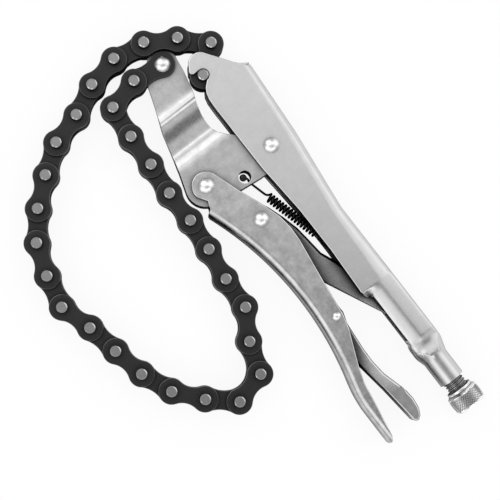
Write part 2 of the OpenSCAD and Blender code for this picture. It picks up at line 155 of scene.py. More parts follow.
# Painted shade: an occlusion node darkens the colour in crevices, hollows and under overhangs, where shade
# falls
painted_crevice_shade = plating.nodes.new("ShaderNodeAmbientOcclusion")
painted_crevice_shade.samples = AO_SAMPLES
painted_crevice_shade.inputs["Distance"].default_value = PAINTED_SHADE_REACH
reached = math_node(plating, "POWER", painted_crevice_shade.outputs["AO"], plating_in.outputs["Painted Shade Power"])
painted_shade_factor = math_node(plating, "ADD", math_node(plating, "MULTIPLY", reached, 1 - DARKEST_PAINTED_SHADE), DARKEST_PAINTED_SHADE)
shade = math_node(plating, "MULTIPLY", shade, painted_shade_factor)
tint = plating.nodes.new("ShaderNodeVectorMath")
tint.operation = "SCALE"
plating.links.new(plating_in.outputs["Color"], tint.inputs[0])
plating.links.new(shade, tint.inputs["Scale"])
plating.links.new(tint.outputs["Vector"], plating_out.inputs["Color"])
dulling = math_node(plating, "MULTIPLY", speckled, SPECKLE_DULLS)
dulled = math_node(plating, "ADD", plating_in.outputs["Roughness"], dulling)
polish = math_node(plating, "MULTIPLY", edge_wear_and_highlight, WEAR_POLISHES)
plating.links.new(math_node(plating, "SUBTRACT", dulled, polish), plating_out.inputs["Roughness"])
plating.links.new(grain, plating_out.inputs["Height"])


GRAIN_RELIEF = 0.05 * MM


# One finish made with the plating; the grain's size is in mm
def plated(
    name, colour, roughness, grain_size, speckle, cloud, edge_wear_highlight, bump, metallic=1.0, painted_crevice_shade=1.7
):
    material = bpy.data.materials.new(name)
    material.use_nodes = True
    tree = material.node_tree
    shader = tree.nodes["Principled BSDF"]
    shader.inputs["Metallic"].default_value = metallic
    skin = tree.nodes.new("ShaderNodeGroup")
    skin.node_tree = plating
    skin.inputs["Color"].default_value = (colour, colour, colour, 1)
    skin.inputs["Grain"].default_value = 1 / (grain_size * MM)
    skin.inputs["Speckle"].default_value = speckle
    skin.inputs["Clouds"].default_value = cloud
    skin.inputs["Edge Wear Highlight"].default_value = edge_wear_highlight
    skin.inputs["Roughness"].default_value = roughness
    skin.inputs["Painted Shade Power"].default_value = painted_crevice_shade
    relief = tree.nodes.new("ShaderNodeBump")
    relief.inputs["Strength"].default_value = bump
    relief.inputs["Distance"].default_value = GRAIN_RELIEF
    tree.links.new(skin.outputs["Color"], shader.inputs["Base Color"])
    tree.links.new(skin.outputs["Roughness"], shader.inputs["Roughness"])
    tree.links.new(skin.outputs["Height"], relief.inputs["Height"])
    tree.links.new(relief.outputs["Normal"], shader.inputs["Normal"])
    return material


WELD = 0.002 * MM
SLIVER = 0.01 * MM
FLAT_ANGLE = math.radians(0.5)


# A copy of a solid with its triangles joined into whole faces and its finest seams closed
def joined_copy(node, seam=WELD):
    shape = bmesh.new()
    shape.from_mesh(frame["nodes"][node].data)
    bmesh.ops.remove_doubles(shape, verts=shape.verts, dist=WELD)
    bmesh.ops.dissolve_limit(shape, angle_limit=FLAT_ANGLE, verts=shape.verts, edges=shape.edges)
    bmesh.ops.remove_doubles(shape, verts=shape.verts, dist=seam)
    bmesh.ops.dissolve_degenerate(shape, edges=shape.edges, dist=SLIVER)
    return shape


SHORTEST_SHARE = 0.25
LEVEL = 0.99


# Breaks the sharp edges and marks the new faces, which the plating paints bright as edge wear and a painted
# highlight.
# It can keep to the edges of level faces and pass over the places that the spared function names.
def break_edges(shape, width, least_angle=35, steps=2, flat_only=False, spared=None):
    mark = shape.faces.layers.float.get("edge") or shape.faces.layers.float.new("edge")
    sharp = [
        e for e in shape.edges
        if e.is_manifold and e.calc_face_angle() > math.radians(least_angle)
        and e.calc_length() > SHORTEST_SHARE * width
        and (not flat_only or max(abs(f.normal.z) for f in e.link_faces) > LEVEL)
        and not (spared and spared((e.verts[0].co + e.verts[1].co) / 2 / MM))
    ]
    broken = bmesh.ops.bevel(
        shape, geom=sharp, offset=width, offset_type="OFFSET", segments=steps, profile=0.5,
        affect="EDGES", material=-1, clamp_overlap=False,
    )
    for face in broken["faces"]:
        face[mark] = 1.0


# Makes the finished object from a shape, on its body and in place of its solid
def piece(name, shape, materials, body, stands_for, smooth_angle=32):
    mesh = bpy.data.meshes.new(name)
    shape.to_mesh(mesh)
    shape.free()
    for material in materials:
        mesh.materials.append(material)
    mesh.shade_smooth()
    mesh.set_sharp_from_angle(angle=math.radians(smooth_angle))
    made = bpy.data.objects.new(name, mesh)
    scene.collection.objects.link(made)
    flats = made.modifiers.new("even_flats", "WEIGHTED_NORMAL")
    flats.mode = "FACE_AREA"
    flats.keep_sharp = True
    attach(made, body)
    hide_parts(*stands_for)


SPINE = [Vector((-36.6, 16.4)), Vector((2, 13.8)), Vector((43, 9)), Vector((130, 9))]
BEND_R = 4.0
LOW_Z, HIGH_Z = 1.0, 15.0
MID_HEIGHT = (LOW_Z + HIGH_Z) / 2
TAIL_X, TAIL_LOW_Y = 85.0, -6.4
FRONT_GROWTH = 1.25
BEND_SLACK = 0.3
ON_BEND = 0.2
SHOULDER_X = 79.0
SHOULDER_COLUMNS = (80.2, 81.4, 82.6, 83.8, 84.4)
OUTSIDE_DEPTH, LIP_DEPTH, INSIDE_SINK = 2.2, 0.02, 1.9
ROLL_END_X = 115.0
ROLL_Y = 1.2
DENT_X, DENT_HALF, DENT_DEPTH = 117.5, 5.6, 0.7
DENT_LOW, DENT_BLEND = 4.5, 2
DENT_COLUMNS, DENT_ROWS, DENT_ROW_STEP = 12, 10, 1.5
SLOT_END_LOW, SLOT_END_HIGH = 109, 124
NOSE_CORNER_R = 3.0
# Where two runs of the spine meet, with the reach in x of the small steps there
SPINE_JOINTS = ((SPINE[1], 1.2, 2.8), (SPINE[2], 42.2, 43.8), (Vector((TAIL_X, 9)), 83.2, 85.4))
JOINT_WIDTH, JOINT_GAP = 4.6, 0.16
LIP_GAP = 0.12
# The rolled tail's section from its crest, as distance and fall in mm: down to the open lip,
# and over to the spine
LIP_ROLL = [
    (0, 0), (0.9, 0.08), (1.9, 0.36), (3.0, 0.76), (4.1, 1.18),
    (5.2, 1.6), (6.2, 2.08), (7.1, 2.85), (7.6, 4.0),
]
PAST_LIP = 3.6
SPINE_ROLL = [
    (0, 0), (1.2, 0.06), (2.6, 0.2), (4.0, 0.36), (5.3, 0.52),
    (6.3, 0.72), (7.0, 1.15), (7.5, 2.4), (7.7, 6.4),
]


# The place on a rolled section that a turn of the plain bend is pressed to
def rolled_place(section, turn):
    step = min(max(turn / (math.pi / 2), 0), 1) * (len(section) - 1)
    low = min(int(step), len(section) - 2)
    part = step - low
    return [a + (b - a) * part for a, b in zip(section[low], section[low + 1])]


# How far the side has sunk toward the lip at a distance from the crest
def lip_fall(distance):
    for (near, fall), (far, next_fall) in zip(LIP_ROLL, LIP_ROLL[1:]):
        if near <= distance <= far:
            return fall + (next_fall - fall) * (distance - near) / (far - near)
    return 0 if distance < 0 else PAST_LIP


# Cuts the faces between two places along the tool with a plane at one x or one y
def cut_across(shape, x=None, y=None, least_x=-math.inf, most_x=math.inf):
    at = (x * MM, 0, 0) if y is None else (0, y * MM, 0)
    faces = [f for f in shape.faces if least_x < f.calc_center_median().x / MM < most_x]
    edges = list(dict.fromkeys(e for f in faces for e in f.edges))
    verts = list(dict.fromkeys(v for f in faces for v in f.verts))
    facing = (1, 0, 0) if y is None else (0, 1, 0)
    bmesh.ops.bisect_plane(shape, geom=verts + edges + faces, plane_co=at, plane_no=facing)


# Draws the small steps where two runs of the spine's bend meet into one ring
def even_joints(shape):
    moved = []
    for joint, low, high in SPINE_JOINTS:
        for vert in shape.verts:
            x, y = vert.co.xy / MM
            if low < x < high and y > joint.y - JOINT_WIDTH:
                vert.co.x = joint.x * MM
                moved.append(vert)
    bmesh.ops.remove_doubles(shape, verts=moved, dist=JOINT_GAP * MM)
    bmesh.ops.dissolve_degenerate(shape, edges=shape.edges, dist=SLIVER)


# Places on the frame whose edges stay sharp, because the faces there are too narrow to be broken cleanly
def too_narrow(place):
    at_tail = abs(place.x - TAIL_X) < 0.1
    at_nose = (place.xy - SPINE[0]).length < NOSE_CORNER_R
    return at_tail or at_nose or SLOT_END_LOW < place.x < SLOT_END_HIGH


# Whether a place lies on one of the solid's plain round bends
def is_on_bend(inset, depth):
    if inset > BEND_R + BEND_SLACK or depth > BEND_R + BEND_SLACK:
        return False
    return abs(math.hypot(BEND_R - inset, BEND_R - depth) - BEND_R) < ON_BEND


# Widens the bends along the spine and rolls the tail
def widen_bends(shape):
    for vert in shape.verts:
        x, y, z = vert.co / MM
        if x > ROLL_END_X + 1:
            continue
        side = 1 if z > MID_HEIGHT else -1
        face_z = HIGH_Z if side > 0 else LOW_Z
        depth = min(z - LOW_Z, HIGH_Z - z)
        share = min(max(x / TAIL_X, 0), 1) ** 2
        for start, end in zip(SPINE, SPINE[1:]):
            if start.x - 0.5 <= x <= end.x + 0.5:
                inward = Vector(((end - start).y, -(end - start).x)).normalized()
                inset = (Vector((x, y)) - start).dot(inward)
                if inset > -0.1 and is_on_bend(inset, depth):
                    turn = math.atan2(BEND_R - inset, BEND_R - depth)
                    distance, fall = rolled_place(SPINE_ROLL, turn)
                    rolled_inset = SPINE_ROLL[-1][0] - distance
                    wide = inset * FRONT_GROWTH * (1 - share) + rolled_inset * share
                    deep = depth * FRONT_GROWTH * (1 - share) + fall * share
                    shift = inward * (wide - inset)
                    vert.co = Vector((x + shift.x, y + shift.y, face_z - side * deep)) * MM
                    break
        else:
            inset = y - TAIL_LOW_Y
            if x > TAIL_X - 0.2 and is_on_bend(inset, depth):
                turn = math.atan2(BEND_R - inset, BEND_R - depth)
                distance, fall = rolled_place(LIP_ROLL, turn)
                vert.co = Vector((x, ROLL_Y - distance, face_z - side * fall)) * MM


# Lets the sides sink softly into the rolled tail, and dents the tail's end where it closes round the barrel
def sink_shoulder(shape):
    for vert in shape.verts:
        x, y, z = vert.co / MM
        height = z - MID_HEIGHT
        depth = (HIGH_Z - LOW_Z) / 2 - abs(height)
        deepest = OUTSIDE_DEPTH if x < TAIL_X - 0.1 else LIP_DEPTH
        if SHOULDER_X < x < TAIL_X + 0.1 and y < ROLL_Y and depth < deepest:
            along = min((x - SHOULDER_X) / (TAIL_X - SHOULDER_X), 1)
            sunk = lip_fall(ROLL_Y - y) * along * along * (3 - 2 * along)
            vert.co.z -= math.copysign(min(sunk, INSIDE_SINK) if depth > 1 else sunk, height) * MM
        reach = abs(x - DENT_X) / DENT_HALF
        share = min(max((abs(height) - DENT_LOW) / DENT_BLEND, 0), 1)
        if reach < 1:
            dent = DENT_DEPTH * share * math.cos(reach * math.pi / 2) ** 2
            vert.co.z -= math.copysign(dent, height) * MM
    lip = [v for v in shape.verts if abs(v.co.x / MM - TAIL_X) < 0.1 and v.co.y / MM < ROLL_Y + 0.1]
    bmesh.ops.remove_doubles(shape, verts=lip, dist=LIP_GAP * MM)
    bmesh.ops.dissolve_degenerate(shape, edges=shape.edges, dist=SLIVER)


frame_steel = plated("dull_plated_steel", 0.64, 0.3, 0.8, 0.14, 0.16, 0.25, 0.04)
shape = joined_copy("frame_channel", seam=0.06 * MM)
even_joints(shape)
cut_across(shape, x=ROLL_END_X)
widen_bends(shape)
break_edges(shape, 0.5 * MM, steps=3, flat_only=True, spared=too_narrow)
for column in SHOULDER_COLUMNS:
    cut_across(shape, x=column)
for step in range(DENT_COLUMNS):
    cut_across(shape, x=DENT_X + DENT_HALF * (step / 6 - 0.95))
for distance, _ in LIP_ROLL:
    cut_across(shape, y=ROLL_Y - distance, least_x=SHOULDER_X, most_x=TAIL_X)
for step in range(DENT_ROWS):
    row = DENT_ROW_STEP * step - 6.0
    cut_across(shape, y=row, least_x=DENT_X - DENT_HALF, most_x=DENT_X + DENT_HALF)
sink_shoulder(shape)
bmesh.ops.holes_fill(shape, edges=[e for e in shape.edges if e.is_boundary], sides=0)
bmesh.ops.recalc_face_normals(shape, faces=shape.faces)
piece("frame_sheet", shape, [frame_steel], "frame", stands_for=["frame_channel"])


# Rivets: bright steel, peened into low domes on the near side, with flat heads on the far side.
# The chain's rivet has a dome on both sides.
RIVET_STEPS, DOME_STEPS = 40, 8
RIVET_CHAMFER = 0.2 * MM


# Turns a run of points about an upright axis into a round solid
def turn_round(shape, points, axis_at, steps):
    verts = [shape.verts.new(point) for point in points]
    edges = [shape.edges.new(pair) for pair in zip(verts, verts[1:])]
    bmesh.ops.spin(
        shape, geom=verts + edges, cent=axis_at, axis=(0, 0, 1), angle=2 * math.pi,
        steps=steps, use_merge=True,
    )
    bmesh.ops.remove_doubles(shape, verts=shape.verts, dist=WELD)
    bmesh.ops.recalc_face_normals(shape, faces=shape.faces)


rivet_steel = plated("bright_rivet_steel", 0.95, 0.33, 0.4, 0.08, 0.08, 0.1, 0.03)
# Each with its shank's radius, its dome's rise and its flat head's height in mm
for node, body, shank, rise, foot in (
    ("main_pivot_rivet", "frame", 2.98, 1.7, 0.98), ("lever_pivot_rivet", "lever", 2.98, 1.7, 0.98),
    ("toggle_rivet", "lever", 2.98, 1.7, 0.98), ("release_rivet", "lever", 1.68, 1.19, 0.98),
    ("chain_anchor_rivet", "jaw", 2.54, 1.7, 0),
):
    low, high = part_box(node)
    axis_at = (low + high) / 2
    half_height = (high.z - low.z) / 2
    head = (high.x - low.x) / 2
    dome = rise * MM
    ball = (head * head + dome * dome) / 2 / dome
    spread = math.asin(head / ball)
    arch = []
    for step in range(DOME_STEPS + 1):
        lean = spread * step / DOME_STEPS
        arch.append((ball * math.sin(lean), half_height - ball + ball * math.cos(lean)))
    if foot:
        under = [
            (head, foot * MM - half_height), (head, RIVET_CHAMFER - half_height),
            (head - RIVET_CHAMFER, -half_height), (0, -half_height),
        ]
    else:
        under = [(r, -z) for r, z in reversed(arch)]
    turned_profile = arch + [(shank * MM, arch[-1][1]), (shank * MM, under[0][1])] + under
    shape = bmesh.new()
    points = [axis_at + Vector((r, 0, z)) for r, z in turned_profile]
    turn_round(shape, points, axis_at, RIVET_STEPS)
    piece(node + "_head", shape, [rivet_steel], body, stands_for=[node])


# Jaw: two pressed plates, each with two soft joggles, that come together in a flat tongue for the chain.
# The first joggle swells slowly and ends in a crease, and the second is a broad even slope.
JAW_SHEET = 1.6
MIDDLE = 8.0
LEVELS = [0.02, 1.66, 3.3]
FOLDS = [(-42.0, -38.5), (-22.3, -17.0)]
FOLD_LEAN = 0.6
# Each joggle's crease, the lengths of its slope before and behind it, and its steepest rise
FIRST_JOGGLE = (-39.8, 7.5, 2.5, 0.68)
SECOND_JOGGLE = (-22.3, 4.0, 12.0, 0.65)
DIP_START, DIP_LENGTH, DIP_DEPTH = -37.5, 10, 0.96
WHOLE_RISE = 3.34
# How far each crease leans for each mm across, and the y where it doesn't
FIRST_LEAN, FIRST_Y = 0.05, -22.5
SECOND_LEAN, SECOND_Y = 0.038, -24.5
JAW_CUTS, JAW_CUT_START, JAW_CUT_STEP = 64, -49.4, 0.55


# Height of one face of the solid's jaw plate, which is folded along straight lines
def folded_height(x):
    height = LEVELS[0]
    for (fold_start, fold_end), low, high in zip(FOLDS, LEVELS, LEVELS[1:]):
        height += (high - low) * min(max((x - fold_start) / (fold_end - fold_start), 0), 1)
    return height


# A joggle's slope grows as a cube toward its crease and falls off as a cube behind it
def cubic_rise(x, crease, before, behind, steepest):
    ahead = min(max((x - crease + before) / before, 0), 1)
    after = 1 - min(max((x - crease) / behind, 0), 1)
    return steepest / 4 * (before * ahead ** 4 + behind * (1 - after ** 4))


# Height of the pressed plate at a place: a joggle, a shallow dip and a second joggle,
# leaning a little with the dies
def pressed_height(x, y):
    first_rise = cubic_rise(x + FIRST_LEAN * (y - FIRST_Y), *FIRST_JOGGLE)
    dip = min(max((x - DIP_START) / DIP_LENGTH, 0), 1)
    dip_fall = DIP_DEPTH * (dip - math.sin(2 * math.pi * dip) / (2 * math.pi))
    second_rise = cubic_rise(x + SECOND_LEAN * (y - SECOND_Y), *SECOND_JOGGLE)
    return LEVELS[0] + (first_rise - dip_fall + second_rise) * (LEVELS[2] - LEVELS[0]) / WHOLE_RISE


# Cuts the whole shape at a place along the tool
def slice_at(shape, x):
    bmesh.ops.bisect_plane(
        shape, geom=shape.verts[:] + shape.edges[:] + shape.faces[:],
        plane_co=(x * MM, 0, 0), plane_no=(1, 0, 0),
    )


jaw_steel = plated("bright_plated_steel", 0.54, 0.25, 0.9, 0.2, 0.5, 0.25, 0.04)
for node in ("jaw_near_plate", "jaw_far_plate"):
    shape = joined_copy(node)
    for cut in range(JAW_CUTS):
        slice_at(shape, JAW_CUT_START + JAW_CUT_STEP * cut)
    for vert in shape.verts:
        x, y, z = vert.co / MM
        inside = folded_height(x)
        outside = folded_height(x + FOLD_LEAN) + JAW_SHEET
        share = (abs(z - MIDDLE) - inside) / (outside - inside)
        height = pressed_height(x, y) + share * JAW_SHEET
        vert.co.z = (MIDDLE + math.copysign(height, z - MIDDLE)) * MM
    break_edges(shape, 0.25 * MM)
    piece(node + "_sheet", shape, [jaw_steel], "jaw", stands_for=[node])


# Lever: the moving handle, a second bent steel channel, curved to the hand and speckled by its plating.
# A rivet holds it to the jaw.
lever_steel = plated("speckled_plated_steel", 0.53, 0.28, 1.5, 0.2, 0.9, 0.3, 0.05)
shape = joined_copy("lever_channel", seam=0.08 * MM)
break_edges(shape, 0.5 * MM, steps=3, flat_only=True)
piece("lever_sheet", shape, [lever_steel], "lever", stands_for=["lever_channel"])


# Release lever and toggle link: thick blanked steel bars that turn on rivets inside the lever's channel.
# The toggle reaches into the frame and meets the adjusting screw.
dark_steel = plated("dull_dark_steel", 0.52, 0.34, 0.5, 0.2, 0.25, 0.3, 0.06)
# Its painted crevice shade is made much deeper, so the bar is painted dark toward the frame: a painted
# shadow under the frame's edge
toggle_steel = plated("plated_bar_steel", 0.54, 0.3, 0.9, 0.12, 0.5, 0.2, 0.05, painted_crevice_shade=6.0)
shape = joined_copy("release_lever")
THIN, THICK = 2.5, 4.5
RAMP_START, RAMP_END = 100.0, 125.0
RAMP_CUTS, RAMP_STEP = 14, 2
for cut in range(RAMP_CUTS):
    slice_at(shape, RAMP_START + RAMP_STEP * cut)
for vert in shape.verts:
    share = min(max((vert.co.x / MM - RAMP_START) / (RAMP_END - RAMP_START), 0), 1)
    half = THIN + (THICK - THIN) * share * share * (3 - 2 * share)
    vert.co.z = (MIDDLE + math.copysign(half, vert.co.z / MM - MIDDLE)) * MM
bmesh.ops.remove_doubles(shape, verts=shape.verts, dist=SLIVER)
bmesh.ops.dissolve_degenerate(shape, edges=shape.edges, dist=SLIVER)
break_edges(shape, 1.2 * MM, least_angle=50, steps=4)
piece("release_bar", shape, [toggle_steel], "release", stands_for=["release_lever"])
shape = joined_copy("toggle_link")
# The edges of its side toward the frame are well rounded
FRAME_SIDE = Vector((-0.42, 0.907, 0))
ROLL_OVER = 2.2 * MM
rolled = [
    e for e in shape.edges
    if e.is_manifold and e.calc_face_angle() > math.radians(60)
    and abs((e.verts[1].co - e.verts[0].co).normalized().z) < 0.1
    and max(f.normal.dot(FRAME_SIDE) for f in e.link_faces) > 0.6
]
bmesh.ops.bevel(
    shape, geom=rolled, offset=ROLL_OVER, offset_type="OFFSET", segments=6, profile=0.5,
    affect="EDGES", material=-1, clamp_overlap=False,
)
break_edges(shape, 0.4 * MM)
piece("toggle_bar", shape, [toggle_steel], "toggle", stands_for=["toggle_link"])
frame["nodes"]["spring_anchor"].data.materials.clear()
frame["nodes"]["spring_anchor"].data.materials.append(dark_steel)


# Spring: black steel wire wound in a close coil, which pulls the jaw open when the lever lets go.
# It is hooked in the jaw's hole, where its end shows as a button, and round a pin inside the frame.
WIRE = 1.15 * MM
hole = Vector((4.3, -18.8, 8)) * MM
anchor = Vector((52, -6, 8)) * MM
along = (anchor - hole).normalized()
across = Vector((-along.y, along.x, 0))
upward = Vector((0, 0, 1))
COIL_START, COIL_PITCH, COIL_TURNS, COIL_R = 14.6, 1.76, 16, 1.95
COIL_STEPS = 20
coil_end = COIL_START + COIL_PITCH * COIL_TURNS
EYE_R = 2.3
EYE_STEPS, EYE_TURN, EYE_START, EYE_RISE = 12, 20, -110, 0.12
eye = (anchor - hole).length / MM
# The wire's route from the jaw's hole, in mm along the spring, across it and upward
route = [
    (-0.4, -0.8, 4.8), (0.6, -0.4, 5.1), (1.4, 0, 5.0), (2.0, 0, 4.2), (2.3, 0, 2.6), (3, 0, 0.9),
    (4.4, 0, 0.1), (6, 0, 0), (12.4, 0, 0), (13.5, 0.5, -0.5), (14.2, 1.3, -0.9),
]
for step in range(COIL_TURNS * COIL_STEPS + 1):
    turn = 2 * math.pi * step / COIL_STEPS
    reach = COIL_START + COIL_PITCH * step / COIL_STEPS
    route.append((reach, COIL_R * math.cos(turn), COIL_R * math.sin(turn)))
route += [(coil_end + 0.9, 1.3, 0.8), (coil_end + 1.7, 0.4, 0.5), (coil_end + 2.6, -EYE_R * 0.6, 0.1)]
for step in range(EYE_STEPS):
    turn = math.radians(EYE_TURN * step + EYE_START)
    route.append((eye + EYE_R * math.cos(turn), EYE_R * math.sin(turn), EYE_RISE * step))
wire_curve = bpy.data.curves.new("spring_route", "CURVE")
wire_curve.dimensions = "3D"
wire_curve.bevel_depth = WIRE / 2
wire_curve.bevel_resolution = 3
wire_curve.use_fill_caps = True
strand = wire_curve.splines.new("POLY")
strand.points.add(len(route) - 1)
for point, (x, y, z) in zip(strand.points, route):
    point.co = (*(hole + (x * along + y * across + z * upward) * MM), 1)
wire_object = bpy.data.objects.new("spring_route", wire_curve)
scene.collection.objects.link(wire_object)
solved = wire_object.evaluated_get(bpy.context.evaluated_depsgraph_get())
spring_mesh = bpy.data.meshes.new_from_object(solved)
bpy.data.objects.remove(wire_object)
BUTTON_STEPS = 24
BUTTON = [(0, 5.7), (1.1, 5.55), (1.6, 5.2), (1.75, 4.8), (1.6, 4.4), (1.1, 4.05), (0, 3.9)]
shape = bmesh.new()
button_at = hole + (-0.4 * along - 0.8 * across) * MM
points = [button_at + (r * along + z * upward) * MM for r, z in BUTTON]
turn_round(shape, points, button_at, BUTTON_STEPS)
shape.from_mesh(spring_mesh)
bmesh.ops.recalc_face_normals(shape, faces=shape.faces)
shape.to_mesh(spring_mesh)
shape.free()
spring_steel = plated("black_spring_wire", 0.035, 0.4, 0.4, 0.3, 0.2, 0.0, 0.05)
spring_mesh.materials.clear()
spring_mesh.materials.append(spring_steel)
spring_mesh.shade_smooth()
spring = bpy.data.objects.new("spring_wire", spring_mesh)
scene.collection.objects.link(spring)
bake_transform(spring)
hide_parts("spring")


# Adjusting screw: a turned steel screw with a coarse thread, run into the frame's barrel.
# A thin bright collar sits on it.
AXIS = Vector((0, 0.9, 8)) * MM
X_AXIS = Vector((1, 0, 0))
SCREW_R = 5.0 * MM
PITCH = 1.5 * MM
DEPTH = 0.68 * MM
THREAD_START, THREAD_TURNS = 126.0 * MM, 12
THREAD_STEPS = 32
SHANK_START = 101.4 * MM
ROOT_R, ROOT_END = SCREW_R - DEPTH, 145.2 * MM
# Lays an upright round shape along the tool
LAID_DOWN = Matrix.Rotation(math.pi / 2, 4, "Y")


# A plain round bar on the screw's axis between two places
def bar(shape, radius, start, end):
    bmesh.ops.create_cone(
        shape, cap_ends=True, segments=48, radius1=radius, radius2=radius, depth=end - start,
        matrix=Matrix.Translation(AXIS + X_AXIS * (start + end) / 2) @ LAID_DOWN,
    )


shape = bmesh.new()
tooth = [(0, ROOT_R), (0.1, ROOT_R), (0.44, SCREW_R), (0.56, SCREW_R), (0.9, ROOT_R), (1, ROOT_R)]
profile = [shape.verts.new(AXIS + Vector((THREAD_START + x * PITCH, r, 0))) for x, r in tooth]
run = [shape.edges.new(pair) for pair in zip(profile, profile[1:])]
bmesh.ops.spin(
    shape, geom=profile + run, cent=AXIS, axis=X_AXIS, dvec=X_AXIS * PITCH / THREAD_STEPS,
    angle=2 * math.pi * THREAD_TURNS, steps=THREAD_STEPS * THREAD_TURNS,
)
bmesh.ops.remove_doubles(shape, verts=shape.verts, dist=WELD)
bar(shape, ROOT_R, THREAD_START, ROOT_END)
bar(shape, SCREW_R, SHANK_START, THREAD_START + PITCH)
bmesh.ops.recalc_face_normals(shape, faces=shape.faces)
piece("screw_thread", shape, [dark_steel], "screw", stands_for=["adjusting_screw"])
shape = joined_copy("screw_collar")
break_edges(shape, 0.3 * MM)
piece("collar_ring", shape, [rivet_steel], "collar", stands_for=["screw_collar"])


# Knob: a turned steel barrel pressed on the screw's end.
# A cross-cut knurl leaves small diamonds on it, whose ridges are painted bright as a painted highlight.
knob_steel = plated("knurled_steel", 0.68, 0.34, 0.4, 0.15, 0.2, 0.7, 0.03)
knob_low, knob_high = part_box("knurled_knob")
KNURLS = 40
ROWS = 12
CUT = 0.42 * MM
SWELL = 0.6 * MM
CHAMFER = 0.9 * MM
knob_r = (knob_high.y - knob_low.y) / 2
knob_middle = (knob_high.x + knob_low.x) / 2
half_length = (knob_high.x - knob_low.x) / 2
end_r = knob_r - SWELL - CHAMFER


def verts_of(geometry):
    return [g for g in geometry if isinstance(g, bmesh.types.BMVert)]


def edges_of(geometry):
    return [g for g in geometry if isinstance(g, bmesh.types.BMEdge)]


shape = bmesh.new()
# Ridge vertices are marked so the plating paints them bright, a painted highlight; the grooves get the
# plating's painted shade
ridge = shape.verts.layers.float.new("edge")
grooved = []
bmesh.ops.create_circle(
    shape, segments=KNURLS * 2, radius=end_r, cap_ends=True,
    matrix=Matrix.Translation(AXIS + X_AXIS * knob_low.x) @ LAID_DOWN,
)
front = [e for e in shape.edges if e.is_boundary]
for row in range(ROWS + 1):
    place_x = -half_length + CHAMFER + (2 * half_length - 2 * CHAMFER) * row / ROWS
    radius = knob_r - SWELL * (place_x / half_length) ** 2
    moved = bmesh.ops.extrude_edge_only(shape, edges=front)["geom"]
    front = edges_of(moved)
    for vert in verts_of(moved):
        spoke = vert.co - AXIS
        angle = math.atan2(spoke.z, spoke.y)
        step = round(angle / (math.pi / KNURLS))
        low = 0 < row < ROWS and (step + row) % 2 == 1
        reach = radius - (CUT if low else 0)
        vert[ridge] = 0.0 if low else 1.0
        if low:
            grooved.append(vert)
        across_knob = (reach * math.cos(angle), reach * math.sin(angle))
        vert.co = AXIS + Vector((knob_middle + place_x, *across_knob))
last = bmesh.ops.extrude_edge_only(shape, edges=front)["geom"]
for vert in verts_of(last):
    spoke = (vert.co - AXIS) * Vector((0, 1, 1))
    vert.co = AXIS + Vector((knob_high.x, 0, 0)) + spoke.normalized() * end_r
bmesh.ops.contextual_create(shape, geom=edges_of(last))
bmesh.ops.connect_verts(shape, verts=grooved)
bmesh.ops.recalc_face_normals(shape, faces=shape.faces)
piece(
    "knob_barrel", shape, [knob_steel], "screw", smooth_angle=5, stands_for=["knurled_knob"],
)


# Chain: thirty links of blackened steel plates in pairs, blanked and riveted on hard pins.
# The pins' bright ends stand out so that any of them can hook in the frame's notch.
LINK = 15.875 * MM
END_R = 6.13 * MM
PIN_R = 2.54 * MM
BUSH_R = 3.6 * MM
BORE_R = 2.6 * MM
PLAY = 0.01 * MM
# Heights of the plates' faces from the chain's middle, and half the widths of their waists
OUTER_PLATE, OUTER_WAIST = (3.3 * MM, 4.8 * MM), 3.9 * MM
INNER_PLATE, INNER_WAIST = (1.7 * MM, 3.2 * MM), 4.4 * MM
PIN_TOP, BUSH_HALF = 7.8 * MM, 3.2 * MM
PIN_RIM_Z = 7.3 * MM
PIN_INSET, PIN_CHAMFER = 0.5 * MM, 0.4 * MM
ROUND_STEPS = 32
LINKS = 30
HOOKED_PIN = Vector((-45.3, -5.2, 8)) * MM
# The plates' and pins' marked edges are painted much brighter, partly wear and partly a painted highlight
chain_steel = plated("blackened_plate", 0.028, 0.42, 0.5, 0.3, 0.25, 2.6, 0.05, metallic=0.6)
pin_steel = plated("pin_steel", 0.3, 0.36, 0.5, 0.25, 0.2, 1.2, 0.1)


# Puts a finished part into a shape
def add_to(shape, part):
    kept = bpy.data.meshes.new("part")
    part.to_mesh(kept)
    part.free()
    shape.from_mesh(kept)
    bpy.data.meshes.remove(kept)


# One plate with round ends and a hollow waist, holed for its pins, between two heights
def chain_plate(shape, waist, hole_radius, low, high):
    flank_r = (LINK ** 2 / 4 + waist ** 2 - END_R ** 2) / 2 / (END_R - waist)
    bend = math.atan2(LINK / 2, waist + flank_r)
    part = bmesh.new()
    start = part.verts.new((LINK / 2 + END_R, 0, low))
    tip = bmesh.ops.spin(
        part, geom=[start], cent=(LINK / 2, 0, low), axis=(0, 0, 1), angle=math.pi / 2 + bend, steps=14,
    )["geom_last"]
    bmesh.ops.spin(part, geom=tip, cent=(0, waist + flank_r, low), axis=(0, 0, -1), angle=bend, steps=5)
    bmesh.ops.mirror(part, geom=part.verts[:] + part.edges[:], axis="Y", merge_dist=SLIVER)
    bmesh.ops.mirror(part, geom=part.verts[:] + part.edges[:], axis="X", merge_dist=SLIVER)
    for side in (-1, 1):
        hole_at = Matrix.Translation((side * LINK / 2, 0, low))
        bmesh.ops.create_circle(part, segments=ROUND_STEPS, radius=hole_radius, matrix=hole_at)
    bmesh.ops.triangle_fill(part, edges=part.edges, use_beauty=True)
    grown = bmesh.ops.extrude_face_region(part, geom=part.faces[:])["geom"]
    bmesh.ops.translate(part, verts=verts_of(grown), vec=(0, 0, high - low))
    bmesh.ops.recalc_face_normals(part, faces=part.faces)
    break_edges(part, 0.32 * MM, least_angle=60)
    add_to(shape, part)


